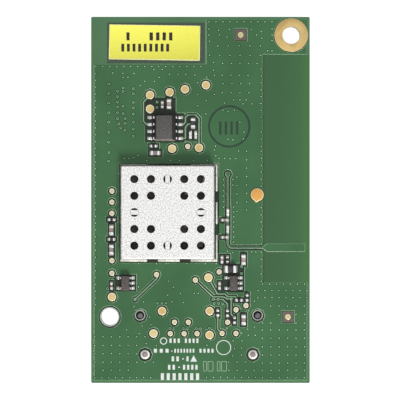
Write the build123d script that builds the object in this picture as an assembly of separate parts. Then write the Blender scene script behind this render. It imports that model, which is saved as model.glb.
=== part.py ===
from build123d import *

import os
from math import atan, degrees


def at(datum, x, y):
    """Point measured from a datum."""
    return (datum[0] + x, datum[1] + y)


def placed(datum, points):
    """Points measured from a datum."""
    return [at(datum, *point) for point in points]


# Board: origin at the centre of its back face, +X right, +Y towards the label, +Z out of the front
BOARD_W = 40.0
BOARD_L = 67.0
BOARD_T = 1.6
CORNER_R = 0.25
COPPER_T = 0.05
EDGE_INSET = 0.5
LEFT, RIGHT = -BOARD_W / 2, BOARD_W / 2
BOTTOM, TOP = -BOARD_L / 2, BOARD_L / 2
SEAT = BOARD_T + COPPER_T

# Screw holes: the upper right one is plated and ringed, the lower left one is bare
SCREW_R = 1.6
SCREW_INSET = 3.4
RING_R = 3.07
RING_GAP = 0.14
PLATED_HOLE = (RIGHT - SCREW_INSET, TOP - 3.35)
BARE_HOLE = (LEFT + SCREW_INSET, BOTTOM + 12.1)
BARE_HOLE_CLEAR = 0.45

# Folded and pierced shield can
CAN_W = 17.0
CAN_X, CAN_Y = LEFT + 14.04, -2.27
CAN_H = 2.4
CAN_SHEET = 0.2
CAN_BEND_R = 0.25
CAN_CORNER_R = 0.45
CAN_HOLE_R = 0.75
CAN_HOLE_PITCH = 3.02
CAN_HOLES = 5
CAN_HOLE_SIDES = 20
STRAP_W = 0.82
NOTCH_W = 2.0
NOTCH_H = 0.45
NOTCH_OFFSET = 3.0

# Its soldered foot: the can settled a little off the middle of its lands
FOOT_OUT = 0.4
FOOT_IN = 0.3
FOOT_GAP = 0.2
FOOT_SHIFT = (0.18, -0.15)
FILLET_OUT = 0.18
FILLET_H = 0.3
FILLET_TOP = 0.02

# The rest of the front is laid out from the sides of the can
ABOVE = (CAN_X, CAN_Y + CAN_W / 2)
BESIDE = (CAN_X + CAN_W / 2, CAN_Y)
COLUMN = (CAN_X - CAN_W / 2 - 1.74, CAN_Y)
LOWER = (CAN_X, CAN_Y)

# Parts under the can, placed from its centre: x, y, length, width, height
RADIO_CHIP = (-1.1, 0.4, 7.0, 7.0, 0.85)
CRYSTAL = (0.0, RADIO_CHIP[1] - RADIO_CHIP[3] / 2 - 1.2, 2.5, 2.0, 0.75)
RF_FILTER = (CAN_W / 2 - 1.25, CAN_W / 2 - 2.5, 1.6, 1.0, 0.8)
INDUCTOR = (CAN_W / 2 - 3.3, 3.1 - CAN_W / 2, 2.5, 2.0, 1.2)
DECOUPLERS = 5
DECOUPLER_PITCH = 1.5
DECOUPLER_GAP = 0.6
EASE = 0.08

# Clearances in the ground pour, and the smallest island of it that is kept
PAD_GAP = 0.24
TRACE_W = 0.24
TRACE_GAP = 0.24
WINDOW_GAP = 0.3
VIA_R = 0.3
CLEAR_SIDES = 8
ISLAND_AREA = 1.6

# Small round things that repeat have this many sides
SMALL_SIDES = 12

# Label, and the bare window that it lies in
LABEL_W = 16.65
LABEL_L = 6.4
LABEL_T = 0.1
LABEL_X = LEFT + 11.6
LABEL_Y = TOP - 4.7
LABEL_TURN = -0.9
WINDOW_RIGHT = LABEL_X + LABEL_W / 2 + 1.075
WINDOW_BOTTOM = LABEL_Y - LABEL_L / 2 - 0.75

# Strip along the right edge that the aerial needs free of copper
KEEPOUT_X = BESIDE[0] + 8.81
KEEPOUT_Y = (CAN_Y - 12.83, TOP - 6.9)

# Aerial feed line and the wide strip that it ends in
FEED_X, FEED_TOP = at(BESIDE, 2.45, 7.01)
FEED_Y = CAN_Y - 6.47
FEED_W = 0.34
FEED_GAP = 0.3
FEED_BEND_R = 0.85
FEED_VIA_R = 0.45
STRIP_W = 1.5
STRIP_X = (KEEPOUT_X + 0.85, RIGHT - 0.85)

# Round pads for test probes, and the sighting marks for the assembly machine
LARGE_PAD_R = 0.775
SMALL_PAD_R = 0.5
MARK_R = 0.5
MARK_WINDOW = 2.3
LARGE_PADS = [
    *placed(ABOVE, [(6.96, 14.77), (3.12, 14.02), (0.33, 13.47), (-3.27, 12.97), (-3.27, 10.42), (5.68, 3.32),
                    (0.77, 3.14)]),
    *placed(BESIDE, [(-1.09, -11.93), (-0.87, -18.06), (-0.88, -22.43)]),
    *placed(LOWER, [(-1.07, -18.06), (-2.63, -22.15)]),
    at(COLUMN, 0, -15.48),
]
SMALL_PADS = [
    at(ABOVE, 3.63, 3.56),
    *placed(COLUMN, [(0, 3.9), (0, 1.87), (0, -0.18), (0, -8.83), (0, -11.13)]),
    *placed(LOWER, [(-2.08, -11.38), (1.21, -20.1), (3.74, -20.1), (0.44, -22.19), (2.97, -22.19),
                    (5.33, -22.17)]),
    *placed(BESIDE, [(0.89, -10.9), (-3.48, -12.38), (5.79, -17.05), (3.98, -17.8), (2.43, -20.1),
                     (1.42, -22.15), (3.96, -22.15)]),
]
MARKS = [(RIGHT - 12.64, TOP - 3.3), (RIGHT - 4.0, BARE_HOLE[1])]

# Drop of paint left by the final inspection, over the edge of the aerial's strip
DOT_R = 1.19
DOT_T = 0.16
DOT_AT = (KEEPOUT_X - 0.97, CAN_Y + 3.22)
DOT_RUN_R = 0.42
DOT_RUN = (-0.12, -0.95)

# Moulded chips: body length along Y, width along X and height, span over the leads, and the leads
MEMORY_PINS = 4
REGULATOR_PINS_RIGHT = 3
REGULATOR_PINS_LEFT = 2
MEMORY = {"at": at(ABOVE, -0.49, 6.94), "length": 4.9, "width": 3.9, "height": 1.5, "span": 6.0,
          "pitch": 1.27, "right": MEMORY_PINS, "left": MEMORY_PINS, "lead_w": 0.42, "foot": 0.6}
REGULATOR = {"length": 2.8, "width": 1.55, "height": 1.05, "span": 2.8, "pitch": 0.95,
             "right": REGULATOR_PINS_RIGHT, "left": REGULATOR_PINS_LEFT, "lead_w": 0.4, "foot": 0.34}
LEFT_REGULATOR = {"at": at(COLUMN, 2.5, -12.93), **REGULATOR}
RIGHT_REGULATOR = {"at": at(BESIDE, 3.51, -12.93), **REGULATOR}
STANDOFF = 0.1
BODY_BAND = 0.3
BODY_DRAFT = 9
BEVEL_W = 0.45
BEVEL_H = 0.36
LEAD_T = 0.16
LEAD_SHOULDER = 0.4
LEAD_LAND_W = 0.56

# Two-ended chip parts: length, width and height of each case, then the place of each part
CASES = {
    "0402": (1.0, 0.5, 0.42),
    "0603": (1.6, 0.8, 0.7),
    "0805": (2.0, 1.25, 0.95),
}
CAP_SHARE = 0.25
CAP_PROUD = 0.02
LAND_OUT = 0.28
BANK_SHARE = 0.6
UPRIGHT, ACROSS = 90, 0
CHIP_PARTS = {
    "flash_bypass_capacitor": (ABOVE, 4.6, 7.82, "0603", UPRIGHT),
    "flash_pullup_resistor_left": (ABOVE, 4.12, 5.67, "0402", UPRIGHT),
    "flash_pullup_resistor_right": (ABOVE, 5.1, 5.67, "0402", UPRIGHT),
    "flash_series_resistor": (ABOVE, -2.63, 3.62, "0402", ACROSS),
    "flash_supply_bead": (ABOVE, -2.32, 2.33, "0603", ACROSS),
    "upper_bulk_capacitor": (ABOVE, 0.21, 11.27, "0603", UPRIGHT),
    "upper_filter_capacitor": (ABOVE, -1.02, 11.17, "0402", UPRIGHT),
    "column_resistor_upper": (COLUMN, -0.05, -1.33, "0402", ACROSS),
    "column_capacitor_upper": (COLUMN, -0.08, -3.23, "0603", UPRIGHT),
    "column_resistor_lower": (COLUMN, -0.05, -4.93, "0402", ACROSS),
    "column_capacitor_lower": (COLUMN, -0.08, -6.81, "0603", UPRIGHT),
    "left_regulator_resistor": (COLUMN, -0.06, -13.43, "0402", UPRIGHT),
    "right_regulator_input_capacitor": (BESIDE, 1.4, -8.63, "0402", UPRIGHT),
    "right_regulator_enable_resistor": (BESIDE, 2.41, -8.63, "0402", UPRIGHT),
    "right_regulator_output_capacitor": (BESIDE, 5.33, -8.63, "0603", UPRIGHT),
    "supply_ferrite_bead": (BESIDE, 2.96, -10.37, "0805", ACROSS),
    "right_regulator_bypass_capacitor": (BESIDE, 0.95, -13.43, "0402", UPRIGHT),
    "interface_resistor_upper": (BESIDE, 4.51, -16.06, "0402", ACROSS),
    "interface_pullup_resistor": (BESIDE, 5.98, -15.59, "0402", UPRIGHT),
    "interface_resistor_left": (BESIDE, 0.63, -18.37, "0402", UPRIGHT),
    "interface_resistor_middle": (BESIDE, 2.39, -18.42, "0402", UPRIGHT),
    "interface_resistor_right": (BESIDE, 3.69, -19.7, "0402", UPRIGHT),
    "interface_bulk_capacitor": (BESIDE, 5.35, -19.63, "0603", UPRIGHT),
    "aerial_series_inductor_upper": (BESIDE, 2.45, 0.02, "0402", UPRIGHT),
    "aerial_shunt_capacitor_upper": (BESIDE, 1.9, -1.41, "0402", ACROSS),
    "aerial_series_inductor_lower": (BESIDE, 2.45, -3.05, "0402", UPRIGHT),
    "aerial_shunt_capacitor_lower": (BESIDE, 1.9, -4.55, "0402", ACROSS),
}

# Thin copper traces under the mask: corner points of each centre line
TRACES = [
    placed(ABOVE, [(-3.64, 12.52), (-4.46, 11.7), (-4.46, 8.17), (-3.86, 7.57), (-3.44, 7.57)]),
    placed(ABOVE, [(2.46, 7.57), (2.86, 7.57), (3.22, 7.97), (3.22, 8.87), (3.66, 9.31), (5.11, 9.31),
                   (5.71, 8.71), (5.71, 3.37)]),
    placed(ABOVE, [(2.46, 5.04), (3.22, 5.04), (3.22, 7.07), (3.76, 7.67), (4.56, 7.77)]),
    placed(LOWER, [(-2.08, -11.38), (-1.99, -12.13), (-5.98, -15.9)]),
    placed(BESIDE, [(-3.48, -12.38), (-0.24, -15.45), (1.68, -15.45), (2.46, -15.85), (3.1, -15.85)]),
    placed(BESIDE, [(-1.09, -11.93), (0.56, -14.93), (1.96, -14.93), (2.51, -15.41), (3.86, -15.41),
                    (4.11, -15.93)]),
    placed(BESIDE, [(-0.24, -15.93), (1.56, -15.93), (2.39, -16.73), (2.39, -18.03)]),
    placed(BESIDE, [(3.1, -15.85), (3.1, -18.63), (3.69, -19.23)]),
    placed(BESIDE, [(0.63, -18.73), (0.63, -21.33), (1.36, -22.13)]),
]
TRACE_VIAS = [at(LOWER, -5.98, -15.9), *placed(BESIDE, [(3.1, -15.85), (-0.24, -15.93)])]

# Areas round the chips where the pour is cleared: lower left and upper right corners
CLEARED = [
    placed(ABOVE, [(-4.19, 4.37), (2.96, 9.67)]),
    placed(ABOVE, [(-4.19, 9.47), (1.46, 12.52)]),
    placed(BESIDE, [(1.46, -14.43), (5.51, -9.33)]),
]

# Edge connector on the back: flat contacts, moulded housing, two pegs and two soldered posts
CONTACTS = 20
CONTACT_PITCH = 0.8
CONTACT_W = 0.36
CONTACT_T = 0.2
CONTACT_SETBACK = 1.2
TAIL_LAND_W = 0.44
TAIL_L = 1.0
TAIL_GAP = 0.15
MOUTH_SIDE = 0.92
MOUTH_W = (CONTACTS - 1) * CONTACT_PITCH + CONTACT_W + 2 * MOUTH_SIDE
MOUTH_H = 2.4
MOUTH_DEPTH = 7.0
MOUTH_ROOF = 1.1
MOUTH_FLOOR = 1.1
MOUTH_FLARE = 0.4
CONN_WALL = 3.8
CONN_BACK = 6.4
CONN_CHAMFER = 0.4
CONN_X = BARE_HOLE[0] + 16.33
CONN_W = MOUTH_W + 2 * CONN_WALL
CONN_H = MOUTH_ROOF + MOUTH_H + MOUTH_FLOOR
CONN_FRONT = BOTTOM + 0.2
CONN_REAR = CONN_FRONT + MOUTH_DEPTH + CONN_BACK
PEG_X = CONN_W / 2 - 1.75
PEG_Y = CONN_REAR - 1.3
PEG_R = 0.6
PEG_HOLE_R = 0.75
PEG_TIP = 0.15
PEG_CLEAR = 0.44
POST_X = CONN_W / 2 - 2.65
POST_Y = CONN_FRONT + 5.0
POST_R = 0.5
POST_DEPTH = 2.0
POST_PROUD = 0.35
POST_CONE = 0.25
POST_HOLE_R = 0.55
POST_RING_R = 0.88
POST_CLEAR = 0.34


def rectangle(left, bottom, right, top):
    """Flat rectangle from its two corners."""
    return Pos((left + right) / 2, (bottom + top) / 2) * Rectangle(right - left, top - bottom)


def ribbon(points, width):
    """Flat strip of even width along a path, with mitred corners."""
    places = [Vector(*point) for point in points]
    ways = [(after - before).normalized() for before, after in zip(places, places[1:])]
    one_side, other_side = [], []
    for index, place in enumerate(places):
        way_in = ways[max(index - 1, 0)]
        way_out = ways[min(index, len(ways) - 1)]
        middle = (way_in + way_out).normalized()
        across = Vector(-middle.Y, middle.X) * (width / 2 / middle.dot(way_in))
        one_side.append(place + across)
        other_side.append(place - across)
    return make_face(Polyline(*one_side, *reversed(other_side), close=True))


def on_front(flat, thickness=COPPER_T):
    """Flat shape raised from the front face of the board."""
    return extrude(Pos(0, 0, BOARD_T) * flat, thickness)


def discs(places, radius):
    """Flat discs of one radius."""
    return [Pos(*place) * Circle(radius) for place in places]


def small_discs(places, radius):
    """Flat many-sided discs of one radius, for what repeats."""
    return [Pos(*place) * RegularPolygon(radius, SMALL_SIDES) for place in places]


def clearances(places, radius):
    """Straight-sided openings in the pour that keep at least this radius clear."""
    return [Pos(*place) * RegularPolygon(radius, CLEAR_SIDES, major_radius=False) for place in places]


def group(solids):
    """Separate solids kept together in one node."""
    return Compound(children=[solid for shape in solids for solid in shape.solids()])


def chip_places():
    """Name, x, y, case and turn of each two-ended chip part."""
    return [(name, *at(datum, x, y), case, turn) for name, (datum, x, y, case, turn) in CHIP_PARTS.items()]


def chip_lands():
    """Land rectangles of the two-ended chip parts, one pair for each part."""
    lands = []
    for _, x, y, case, turn in chip_places():
        length, width, _ = CASES[case]
        inner = length / 2 - length * CAP_SHARE
        outer = length / 2 + LAND_OUT
        pad = rectangle(inner, -width / 2, outer, width / 2)
        lands += [Pos(x, y) * Rot(0, 0, turn + half) * pad for half in (0, 180)]
    return lands


def lead_places(chip):
    """Centre of the body side where each lead starts, with its turn: 0 right, 180 left."""
    x, y = chip["at"]
    places = []
    for count, turn, skip in ((chip["right"], 0, 1), (chip["left"], 180, chip["right"] - chip["left"] + 1)):
        first = -(count - 1) / 2 * chip["pitch"] * skip
        for index in range(count):
            places.append((x, y + first + index * chip["pitch"] * skip, turn))
    return places


def lead_lands(chip):
    """Land rectangles under the feet of a moulded chip's leads."""
    outer = chip["span"] / 2
    pad = rectangle(outer - chip["foot"], -LEAD_LAND_W / 2, outer + LAND_OUT, LEAD_LAND_W / 2)
    return [Pos(x, y) * Rot(0, 0, turn) * pad for x, y, turn in lead_places(chip)]


def feed_line():
    """Aerial feed: via, line with one rounded bend, taper and wide strip."""
    path = FilletPolyline((FEED_X, FEED_TOP), (FEED_X, FEED_Y), (KEEPOUT_X, FEED_Y), radius=FEED_BEND_R)
    taper = Polyline(
        (KEEPOUT_X, FEED_Y - FEED_W / 2), (STRIP_X[0], FEED_Y - STRIP_W / 2),
        (STRIP_X[0], FEED_Y + STRIP_W / 2), (KEEPOUT_X, FEED_Y + FEED_W / 2), close=True,
    )
    strip = rectangle(STRIP_X[0], FEED_Y - STRIP_W / 2, STRIP_X[1], FEED_Y + STRIP_W / 2)
    return trace(path, FEED_W) + [make_face(taper), strip] + small_discs([(FEED_X, FEED_TOP)], FEED_VIA_R)


def feed_clearance():
    """Pour cleared along the feed line."""
    path = FilletPolyline((FEED_X, FEED_TOP), (FEED_X, FEED_Y), (STRIP_X[0], FEED_Y), radius=FEED_BEND_R)
    return [trace(path, FEED_W + 2 * FEED_GAP)] + clearances([(FEED_X, FEED_TOP)], FEED_VIA_R + FEED_GAP)


def series_breaks():
    """Gaps under the series parts of the feed, where the line stops at their lands."""
    breaks = []
    for name, x, y, case, _ in chip_places():
        if name.startswith("aerial_series"):
            breaks.append(Pos(x, y) * Rectangle(2 * FEED_VIA_R, CASES[case][0]))
    return breaks


def chip_windows():
    """Pour cleared round every two-ended part and every moulded chip."""
    windows = [rectangle(*low, *high) for low, high in CLEARED]
    for _, x, y, case, turn in chip_places():
        length, width, _ = CASES[case]
        reach = length + 2 * (LAND_OUT + WINDOW_GAP)
        windows.append(Pos(x, y) * Rot(0, 0, turn) * Rectangle(reach, width + 2 * WINDOW_GAP))
    for chip in (MEMORY, LEFT_REGULATOR, RIGHT_REGULATOR):
        reach = chip["span"] + 2 * (LAND_OUT + WINDOW_GAP)
        windows.append(Pos(*chip["at"]) * Rectangle(reach, chip["length"] + WINDOW_GAP))
    return windows


def peg_places():
    """Centres of the housing's locating pegs."""
    return [(CONN_X + side * PEG_X, PEG_Y) for side in (-1, 1)]


def post_places():
    """Centres of the connector's soldered posts."""
    return [(CONN_X + side * POST_X, POST_Y) for side in (-1, 1)]


def make_board():
    """Laminate with rounded corners and its six holes."""
    flat = RectangleRounded(BOARD_W, BOARD_L, CORNER_R)
    flat -= discs([PLATED_HOLE, BARE_HOLE], SCREW_R)
    flat -= discs(peg_places(), PEG_HOLE_R) + discs(post_places(), POST_HOLE_R)
    return extrude(flat, BOARD_T)


def make_ground_pour():
    """Copper under the green mask, cleared round everything that it must not touch."""
    flat = Rectangle(BOARD_W - 2 * EDGE_INSET, BOARD_L - 2 * EDGE_INSET)
    flat -= [rectangle(LEFT, WINDOW_BOTTOM, WINDOW_RIGHT, TOP)]
    flat -= [rectangle(KEEPOUT_X, KEEPOUT_Y[0], RIGHT, KEEPOUT_Y[1])]
    foot = CAN_W + 2 * (FOOT_OUT + FOOT_GAP)
    flat -= [Pos(*at((CAN_X, CAN_Y), *FOOT_SHIFT)) * Rectangle(foot, foot)]
    flat -= discs([PLATED_HOLE], RING_R + RING_GAP) + discs([BARE_HOLE], SCREW_R + BARE_HOLE_CLEAR)
    flat -= clearances(LARGE_PADS, LARGE_PAD_R + PAD_GAP) + clearances(SMALL_PADS, SMALL_PAD_R + PAD_GAP)
    flat -= [Pos(*mark) * Rectangle(MARK_WINDOW, MARK_WINDOW) for mark in MARKS]
    flat -= clearances(peg_places(), PEG_HOLE_R + PEG_CLEAR)
    flat -= clearances(post_places(), POST_RING_R + POST_CLEAR)
    flat -= chip_windows()
    flat -= feed_clearance()
    flat -= [ribbon(points, TRACE_W + 2 * TRACE_GAP) for points in TRACES]
    flat -= clearances(TRACE_VIAS, VIA_R + TRACE_GAP)
    return group([on_front(face) for face in flat.faces() if face.area > ISLAND_AREA])


def all_lands():
    """Every soldered land on the front, apart from the can's foot."""
    lands = chip_lands()
    for chip in (MEMORY, LEFT_REGULATOR, RIGHT_REGULATOR):
        lands += lead_lands(chip)
    return lands


def make_antenna_feed():
    """Feed line and strip, broken at the lands and under the series parts."""
    flat = feed_line() - series_breaks() - all_lands()
    return group([on_front(face) for face in flat.faces()])


def make_signal_traces():
    """Thin traces, stopped at the pads and lands that they join."""
    taken = small_discs(LARGE_PADS, LARGE_PAD_R) + small_discs(SMALL_PADS, SMALL_PAD_R) + all_lands()
    flat = Sketch() + [ribbon(points, TRACE_W) for points in TRACES] + small_discs(TRACE_VIAS, VIA_R)
    flat -= taken
    return group([on_front(face) for face in flat.faces() if face.area > TRACE_W * TRACE_W])


def make_mounting_hole_ring():
    """Bare ring round the plated screw hole."""
    return on_front(Pos(*PLATED_HOLE) * (Circle(RING_R) - Circle(SCREW_R)))


def make_post_rings():
    """Rings on the front that the connector's posts are soldered to."""
    ring = RegularPolygon(POST_RING_R, 2 * SMALL_SIDES, major_radius=False) - Circle(POST_HOLE_R)
    return group([on_front(Pos(*place) * ring) for place in post_places()])


def make_shield_can():
    """Sheet folded down on four sides, pierced in rows, with straps left across four of the holes."""
    blank = Rectangle(CAN_W, CAN_W)
    outer = extrude(Pos(CAN_X, CAN_Y, SEAT) * blank, CAN_H)
    outer = fillet(outer.edges().filter_by(Axis.Z), CAN_CORNER_R)
    outer = fillet(outer.faces().sort_by(Axis.Z)[-1].edges(), CAN_BEND_R)
    hollow = RectangleRounded(CAN_W - 2 * CAN_SHEET, CAN_W - 2 * CAN_SHEET, CAN_CORNER_R - CAN_SHEET)
    can = outer - extrude(Pos(CAN_X, CAN_Y, SEAT) * hollow, CAN_H - CAN_SHEET)
    can -= extrude(Pos(CAN_X, CAN_Y, SEAT) * (Sketch() + can_openings()), CAN_H)
    for turn in (0, 90, 180, 270):
        for side in (-1, 1):
            notch = Pos(CAN_W / 2, side * NOTCH_OFFSET, NOTCH_H / 2) * Box(4 * CAN_SHEET, NOTCH_W, NOTCH_H)
            can -= Pos(CAN_X, CAN_Y, SEAT) * Rot(0, 0, turn) * notch
    return can


def strapped_hole():
    """Two slits that leave a strap across a round hole."""
    return RegularPolygon(CAN_HOLE_R, CAN_HOLE_SIDES) - Rectangle(3 * CAN_HOLE_R, STRAP_W)


def can_openings():
    """Round holes in rows, none in the middle cross apart from the four strapped ones at its ends."""
    middle = CAN_HOLES // 2
    openings = []
    for row in range(CAN_HOLES):
        for column in range(CAN_HOLES):
            place = Pos((column - middle) * CAN_HOLE_PITCH, (row - middle) * CAN_HOLE_PITCH)
            if middle not in (row, column):
                openings.append(place * RegularPolygon(CAN_HOLE_R, CAN_HOLE_SIDES))
            elif abs(row - middle) + abs(column - middle) == middle:
                turn = Rot(0, 0, 0 if row == middle else 90)
                openings += [place * turn * slit for slit in strapped_hole().faces()]
    return openings


def make_shield_solder():
    """Soldered foot of the can: lands with a steep fillet outside the wall, broken at the notches."""
    centre = Pos(CAN_X, CAN_Y, BOARD_T)
    settled = Pos(*FOOT_SHIFT, 0)
    reach = CAN_W + 2 * FOOT_OUT
    inside = CAN_W - 2 * (CAN_SHEET + FOOT_IN)
    frame = Rectangle(reach, reach) - Rectangle(inside, inside)
    lands = extrude(centre * settled * frame, COPPER_T)
    slope = degrees(atan((FILLET_OUT - FILLET_TOP) / FILLET_H))
    toe = CAN_W + 2 * FILLET_OUT
    bank = extrude(Pos(0, 0, COPPER_T) * centre * Rectangle(toe, toe), FILLET_H, taper=slope)
    bank -= extrude(centre * RectangleRounded(CAN_W, CAN_W, CAN_CORNER_R), CAN_H)
    foot = lands + bank
    for turn in (0, 90, 180, 270):
        for side in (-1, 1):
            gap = Pos(CAN_W / 2, side * NOTCH_OFFSET, 0) * Box(6 * FOOT_OUT, NOTCH_W, 4 * FILLET_H)
            foot -= centre * settled * Rot(0, 0, turn) * gap
    return group([foot])


def under_can(x, y, length, width, height):
    """Block of a part soldered under the can, with its top edges eased."""
    block = extrude(Pos(CAN_X + x, CAN_Y + y, BOARD_T) * Rectangle(length, width), height)
    return chamfer(block.faces().sort_by(Axis.Z)[-1].edges(), EASE)


def make_radio_capacitors():
    """Row of small capacitors along the right side of the radio chip."""
    length, width, height = CASES["0402"]
    x = RADIO_CHIP[0] + (RADIO_CHIP[2] + length) / 2 + DECOUPLER_GAP
    first = RADIO_CHIP[1] - (DECOUPLERS - 1) / 2 * DECOUPLER_PITCH
    return group([under_can(x, first + index * DECOUPLER_PITCH, length, width, height)
                  for index in range(DECOUPLERS)])


def make_chip_body(chip):
    """Moulded body: an upright band where the leads leave it, drafted above and below."""
    outline = Rectangle(chip["width"], chip["length"])
    half = (chip["height"] - BODY_BAND) / 2
    body = extrude(outline, BODY_BAND)
    body += extrude(Pos(0, 0, BODY_BAND) * outline, half, taper=BODY_DRAFT)
    body += extrude(outline, -half, taper=BODY_DRAFT)
    if chip is MEMORY:
        top_edges = body.faces().sort_by(Axis.Z)[-1].edges()
        body = chamfer(top_edges.sort_by(Axis.X)[-1], BEVEL_W, BEVEL_H)
    return Pos(*chip["at"], SEAT + STANDOFF + half) * body


def make_leads(chip):
    """Leads bent down in a gull wing from the body's band to their lands."""
    side = chip["width"] / 2
    toe = chip["span"] / 2
    level = STANDOFF + chip["height"] / 2
    heel = toe - chip["foot"]
    shoulder = side + LEAD_SHOULDER * (heel - side)
    path = [(side, level), (shoulder, level), (heel, LEAD_T / 2), (toe, LEAD_T / 2)]
    lead = extrude(Plane.XZ * ribbon(path, LEAD_T), chip["lead_w"] / 2, both=True)
    return group([Pos(x, y, SEAT) * Rot(0, 0, turn) * lead for x, y, turn in lead_places(chip)])


def make_chip_part(x, y, case, turn):
    """Ceramic block with a plated cap on each end, a little proud of it."""
    length, width, height = CASES[case]
    cap = length * CAP_SHARE
    block = Box(length - 2 * cap, width - 2 * CAP_PROUD, height - 2 * CAP_PROUD)
    for side in (-1, 1):
        block += Pos(side * (length - cap) / 2, 0, 0) * Box(cap, width, height)
    return Pos(x, y, SEAT + height / 2) * Rot(0, 0, turn) * block


def joint(toe, inner, width, height):
    """Solder on one land: a thin bed under the terminal and a bank outside it."""
    profile = Polyline(
        (toe - inner, 0), (toe + LAND_OUT, 0), (toe, COPPER_T + height), (toe, COPPER_T),
        (toe - inner, COPPER_T), close=True,
    )
    return extrude(Plane.XZ * make_face(profile), width / 2, both=True)


def make_solder_joints():
    """Solder at every terminal on the front."""
    joints = []
    for _, x, y, case, turn in chip_places():
        length, width, height = CASES[case]
        bank = joint(length / 2, length * CAP_SHARE, width, height * BANK_SHARE)
        joints += [Pos(x, y, BOARD_T) * Rot(0, 0, turn + half) * bank for half in (0, 180)]
    for chip in (MEMORY, LEFT_REGULATOR, RIGHT_REGULATOR):
        bank = joint(chip["span"] / 2, chip["foot"], LEAD_LAND_W, LEAD_T)
        joints += [Pos(x, y, BOARD_T) * Rot(0, 0, turn) * bank for x, y, turn in lead_places(chip)]
    return group(joints)


def make_inspection_dot():
    """Low drop of paint with a small run, lying over the edge of the pour."""
    outline = Circle(DOT_R) + Pos(*DOT_RUN) * Circle(DOT_RUN_R)
    drop = extrude(Pos(*DOT_AT, BOARD_T) * outline, DOT_T)
    reach = KEEPOUT_X - DOT_AT[0] + 2 * DOT_R
    step = Pos(KEEPOUT_X - reach / 2, DOT_AT[1], BOARD_T + COPPER_T / 2) * Box(reach, 4 * DOT_R, COPPER_T)
    return drop - step


def make_label():
    """Stuck-on label, a little out of square."""
    place = Pos(LABEL_X, LABEL_Y, BOARD_T) * Rot(0, 0, LABEL_TURN)
    return extrude(place * Rectangle(LABEL_W, LABEL_L), LABEL_T)


def contact_places():
    """X of each contact of the connector."""
    first = CONN_X - (CONTACTS - 1) / 2 * CONTACT_PITCH
    return [first + index * CONTACT_PITCH for index in range(CONTACTS)]


def contact():
    """Flat contact: tail on the board, down behind the housing, forward along the mouth's roof."""
    tail = -COPPER_T - CONTACT_T / 2
    blade = -MOUTH_ROOF - CONTACT_T / 2
    drop = CONN_REAR + TAIL_GAP + CONTACT_T / 2
    end = CONN_REAR + TAIL_GAP + TAIL_L
    path = [(end, tail), (drop, tail), (drop, blade), (CONN_FRONT + CONTACT_SETBACK, blade)]
    return extrude(Plane.YZ * ribbon(path, CONTACT_T), CONTACT_W / 2, both=True)


def make_connector_contacts():
    """Contacts side by side at an even pitch."""
    piece = contact()
    return group([Pos(x, 0, 0) * piece for x in contact_places()])


def make_connector_housing():
    """Moulded housing with an open mouth at the board's edge, contact slots and two locating pegs."""
    depth = CONN_REAR - CONN_FRONT
    centre_y = (CONN_REAR + CONN_FRONT) / 2
    body = Pos(CONN_X, centre_y, -CONN_H / 2) * Box(CONN_W, depth, CONN_H)
    body = chamfer(body.faces().sort_by(Axis.Z)[0].edges(), CONN_CHAMFER)
    mouth_z = -MOUTH_ROOF - MOUTH_H / 2
    body -= Pos(CONN_X, CONN_FRONT + MOUTH_DEPTH / 2, mouth_z) * Box(MOUTH_W, MOUTH_DEPTH, MOUTH_H)
    opening = Plane.XZ * Rectangle(MOUTH_W + 2 * MOUTH_FLARE, MOUTH_H + 2 * MOUTH_FLARE)
    body -= extrude(Pos(CONN_X, CONN_FRONT, mouth_z) * opening, -MOUTH_FLARE, taper=45)
    slot = Box(CONTACT_W, depth - MOUTH_DEPTH, CONTACT_T)
    for x in contact_places():
        body -= Pos(x, centre_y + MOUTH_DEPTH / 2, -MOUTH_ROOF - CONTACT_T / 2) * slot
    for place in post_places():
        body -= Pos(*place, -POST_DEPTH / 2) * Cylinder(POST_R, POST_DEPTH)
    for place in peg_places():
        peg = Pos(*place, (BOARD_T - PEG_TIP) / 2) * Cylinder(PEG_R, BOARD_T - PEG_TIP)
        body += chamfer(peg.faces().sort_by(Axis.Z)[-1].edges(), PEG_TIP)
    return body


def make_connector_posts():
    """Round posts pressed into the housing and soldered through the board."""
    height = POST_DEPTH + SEAT + POST_PROUD
    post = Pos(0, 0, height / 2 - POST_DEPTH) * Cylinder(POST_R, height)
    return group([Pos(*place, 0) * post for place in post_places()])


def make_post_solder():
    """Cone of solder round each post, on its ring."""
    profile = Polyline((POST_R, SEAT), (POST_RING_R, SEAT), (POST_R, SEAT + POST_CONE), close=True)
    cone = revolve(Plane.XZ * make_face(profile), Axis.Z)
    return group([Pos(*place, 0) * cone for place in post_places()])


def make_tail_solder():
    """Lands under the contacts' tails on the back of the board."""
    rear = CONN_REAR + TAIL_GAP
    pad = rectangle(-TAIL_LAND_W / 2, rear, TAIL_LAND_W / 2, rear + TAIL_L + LAND_OUT)
    return group([extrude(Pos(x, 0) * pad, -COPPER_T) for x in contact_places()])


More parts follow.
